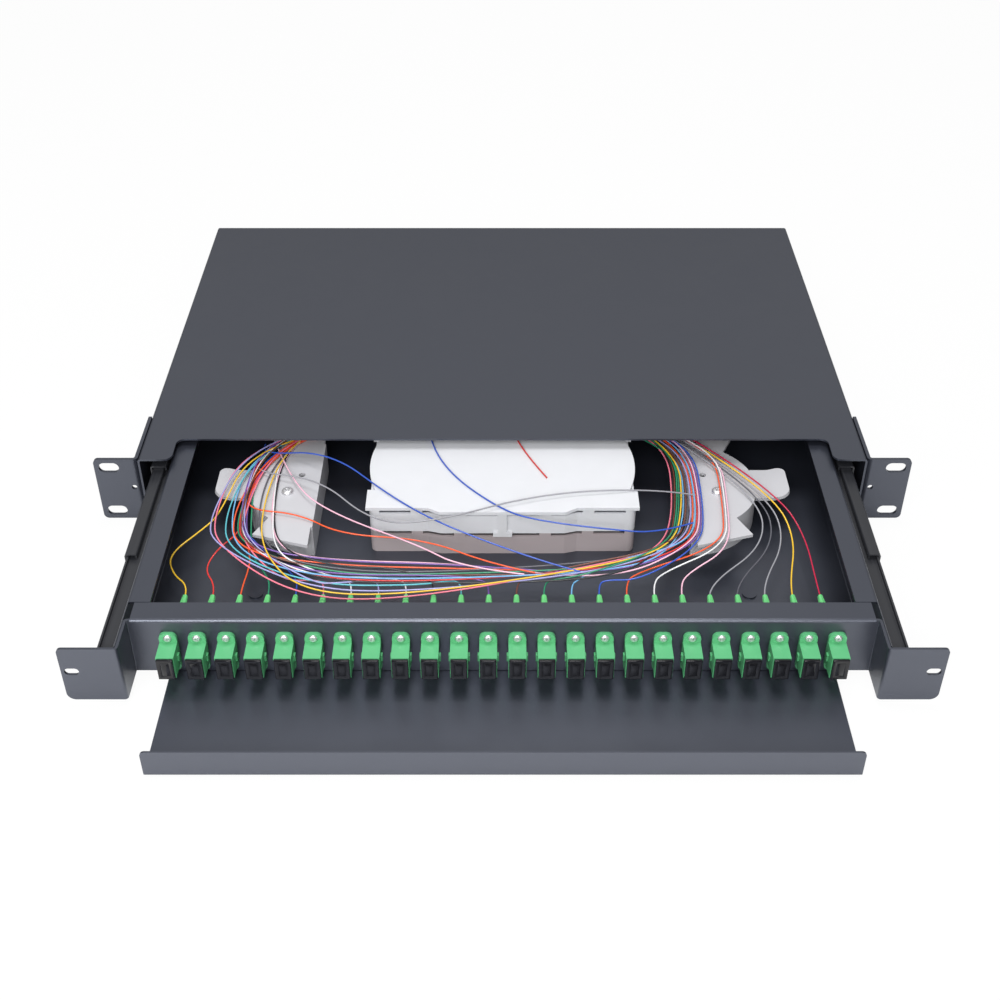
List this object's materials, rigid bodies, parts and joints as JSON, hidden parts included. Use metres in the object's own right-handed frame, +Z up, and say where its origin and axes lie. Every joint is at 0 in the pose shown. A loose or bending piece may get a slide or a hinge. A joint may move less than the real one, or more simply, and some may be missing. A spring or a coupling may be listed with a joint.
{
  "type": "sliding fibre patch drawer",
  "caption": "Low rack housing with a slide-out fibre patch drawer: adapter row with dust caps, splice trays, fibre guides and a front cable tray that slides under the drawer.",
  "frame": {"origin": "centre of the rack-ear hole pattern, on the front face of the rack ears", "axes": "+X to the right seen from the front, +Y from the rack's front to its back, +Z up"},
  "size_m": [0.4826, 0.5049, 0.044],
  "materials": {
    "coated_sheet": "fine-textured dark grey powder coat",
    "rail_steel": "black coated rolled steel",
    "zinc_screw": "bright zinc",
    "adapter_green": "satin moulded plastic",
    "boot_green": "soft moulded boot",
    "cap_black": "glossy moulded plastic",
    "tray_white": "satin white plastic",
    "guide_white": "satin white plastic",
    "fibre_jacket": "smooth coloured fibre jackets",
    "grommet_rubber": "matt rubber"
  },
  "bodies": {
    "housing": {"housing_cover": "coated_sheet", "housing_base": "coated_sheet", "rack_ear_left": "coated_sheet", "rack_ear_right": "coated_sheet", "ear_screws": "zinc_screw", "cabinet_rail_left": "rail_steel", "cabinet_rail_right": "rail_steel", "rail_spacers": "rail_steel", "cable_grommet_left": "grommet_rubber", "cable_grommet_right": "grommet_rubber"},
    "middle_left": {"middle_rail_left": "rail_steel"},
    "middle_right": {"middle_rail_right": "rail_steel"},
    "drawer": {"drawer_pan": "coated_sheet", "front_panel": "coated_sheet", "drawer_rail_left": "rail_steel", "drawer_rail_right": "rail_steel", "tray_rivets": "rail_steel", "adapters": "adapter_green", "pigtail_connectors": "boot_green", "splice_tray_lower": "tray_white", "splice_tray_upper": "tray_white", "splice_lid": "tray_white", "splice_latch": "tray_white", "fibre_guide_left": "guide_white", "fibre_guide_right": "guide_white", "guide_screws": "zinc_screw", "fibre_loop": "fibre_jacket", "pigtail_leads": "fibre_jacket", "loose_fibres": "fibre_jacket"},
    "cable_tray": {"cable_tray": "coated_sheet"},
    "port_cap_01": {"dust_cap_01": "cap_black"},
    "port_cap_02": {"dust_cap_02": "cap_black"},
    "port_cap_03": {"dust_cap_03": "cap_black"},
    "port_cap_04": {"dust_cap_04": "cap_black"},
    "port_cap_05": {"dust_cap_05": "cap_black"},
    "port_cap_06": {"dust_cap_06": "cap_black"},
    "port_cap_07": {"dust_cap_07": "cap_black"},
    "port_cap_08": {"dust_cap_08": "cap_black"},
    "port_cap_09": {"dust_cap_09": "cap_black"},
    "port_cap_10": {"dust_cap_10": "cap_black"},
    "port_cap_11": {"dust_cap_11": "cap_black"},
    "port_cap_12": {"dust_cap_12": "cap_black"},
    "port_cap_13": {"dust_cap_13": "cap_black"},
    "port_cap_14": {"dust_cap_14": "cap_black"},
    "port_cap_15": {"dust_cap_15": "cap_black"},
    "port_cap_16": {"dust_cap_16": "cap_black"},
    "port_cap_17": {"dust_cap_17": "cap_black"},
    "port_cap_18": {"dust_cap_18": "cap_black"},
    "port_cap_19": {"dust_cap_19": "cap_black"},
    "port_cap_20": {"dust_cap_20": "cap_black"},
    "port_cap_21": {"dust_cap_21": "cap_black"},
    "port_cap_22": {"dust_cap_22": "cap_black"},
    "port_cap_23": {"dust_cap_23": "cap_black"},
    "port_cap_24": {"dust_cap_24": "cap_black"}
  },
  "joints": [
    {"name": "drawer_slide", "type": "slide", "parent": "housing", "child": "drawer", "axis": [0, -1, 0], "range_m": [-0.1533, 0.09]},
    {"name": "middle_slide_left", "type": "slide", "parent": "housing", "child": "middle_left", "axis": [0, -1, 0], "range_m": [-0.07665, 0.045]},
    {"name": "middle_slide_right", "type": "slide", "parent": "housing", "child": "middle_right", "axis": [0, -1, 0], "range_m": [-0.07665, 0.045]},
    {"name": "cable_tray_slide", "type": "slide", "parent": "drawer", "child": "cable_tray", "axis": [0, -1, 0], "range_m": [-0.0482, 0]},
    {"name": "port_cap_01_pull", "type": "slide", "parent": "drawer", "child": "port_cap_01", "axis": [0, -1, 0], "range_m": [0, 0.012]},
    {"name": "port_cap_02_pull", "type": "slide", "parent": "drawer", "child": "port_cap_02", "axis": [0, -1, 0], "range_m": [0, 0.012]},
    {"name": "port_cap_03_pull", "type": "slide", "parent": "drawer", "child": "port_cap_03", "axis": [0, -1, 0], "range_m": [0, 0.012]},
    {"name": "port_cap_04_pull", "type": "slide", "parent": "drawer", "child": "port_cap_04", "axis": [0, -1, 0], "range_m": [0, 0.012]},
    {"name": "port_cap_05_pull", "type": "slide", "parent": "drawer", "child": "port_cap_05", "axis": [0, -1, 0], "range_m": [0, 0.012]},
    {"name": "port_cap_06_pull", "type": "slide", "parent": "drawer", "child": "port_cap_06", "axis": [0, -1, 0], "range_m": [0, 0.012]},
    {"name": "port_cap_07_pull", "type": "slide", "parent": "drawer", "child": "port_cap_07", "axis": [0, -1, 0], "range_m": [0, 0.012]},
    {"name": "port_cap_08_pull", "type": "slide", "parent": "drawer", "child": "port_cap_08", "axis": [0, -1, 0], "range_m": [0, 0.012]},
    {"name": "port_cap_09_pull", "type": "slide", "parent": "drawer", "child": "port_cap_09", "axis": [0, -1, 0], "range_m": [0, 0.012]},
    {"name": "port_cap_10_pull", "type": "slide", "parent": "drawer", "child": "port_cap_10", "axis": [0, -1, 0], "range_m": [0, 0.012]},
    {"name": "port_cap_11_pull", "type": "slide", "parent": "drawer", "child": "port_cap_11", "axis": [0, -1, 0], "range_m": [0, 0.012]},
    {"name": "port_cap_12_pull", "type": "slide", "parent": "drawer", "child": "port_cap_12", "axis": [0, -1, 0], "range_m": [0, 0.012]},
    {"name": "port_cap_13_pull", "type": "slide", "parent": "drawer", "child": "port_cap_13", "axis": [0, -1, 0], "range_m": [0, 0.012]},
    {"name": "port_cap_14_pull", "type": "slide", "parent": "drawer", "child": "port_cap_14", "axis": [0, -1, 0], "range_m": [0, 0.012]},
    {"name": "port_cap_15_pull", "type": "slide", "parent": "drawer", "child": "port_cap_15", "axis": [0, -1, 0], "range_m": [0, 0.012]},
    {"name": "port_cap_16_pull", "type": "slide", "parent": "drawer", "child": "port_cap_16", "axis": [0, -1, 0], "range_m": [0, 0.012]},
    {"name": "port_cap_17_pull", "type": "slide", "parent": "drawer", "child": "port_cap_17", "axis": [0, -1, 0], "range_m": [0, 0.012]},
    {"name": "port_cap_18_pull", "type": "slide", "parent": "drawer", "child": "port_cap_18", "axis": [0, -1, 0], "range_m": [0, 0.012]},
    {"name": "port_cap_19_pull", "type": "slide", "parent": "drawer", "child": "port_cap_19", "axis": [0, -1, 0], "range_m": [0, 0.012]},
    {"name": "port_cap_20_pull", "type": "slide", "parent": "drawer", "child": "port_cap_20", "axis": [0, -1, 0], "range_m": [0, 0.012]},
    {"name": "port_cap_21_pull", "type": "slide", "parent": "drawer", "child": "port_cap_21", "axis": [0, -1, 0], "range_m": [0, 0.012]},
    {"name": "port_cap_22_pull", "type": "slide", "parent": "drawer", "child": "port_cap_22", "axis": [0, -1, 0], "range_m": [0, 0.012]},
    {"name": "port_cap_23_pull", "type": "slide", "parent": "drawer", "child": "port_cap_23", "axis": [0, -1, 0], "range_m": [0, 0.012]},
    {"name": "port_cap_24_pull", "type": "slide", "parent": "drawer", "child": "port_cap_24", "axis": [0, -1, 0], "range_m": [0, 0.012]}
  ],
  "couplings": [
    {"joint": "middle_slide_left", "follows": "drawer_slide", "ratio": 0.5},
    {"joint": "middle_slide_right", "follows": "drawer_slide", "ratio": 0.5}
  ]
}
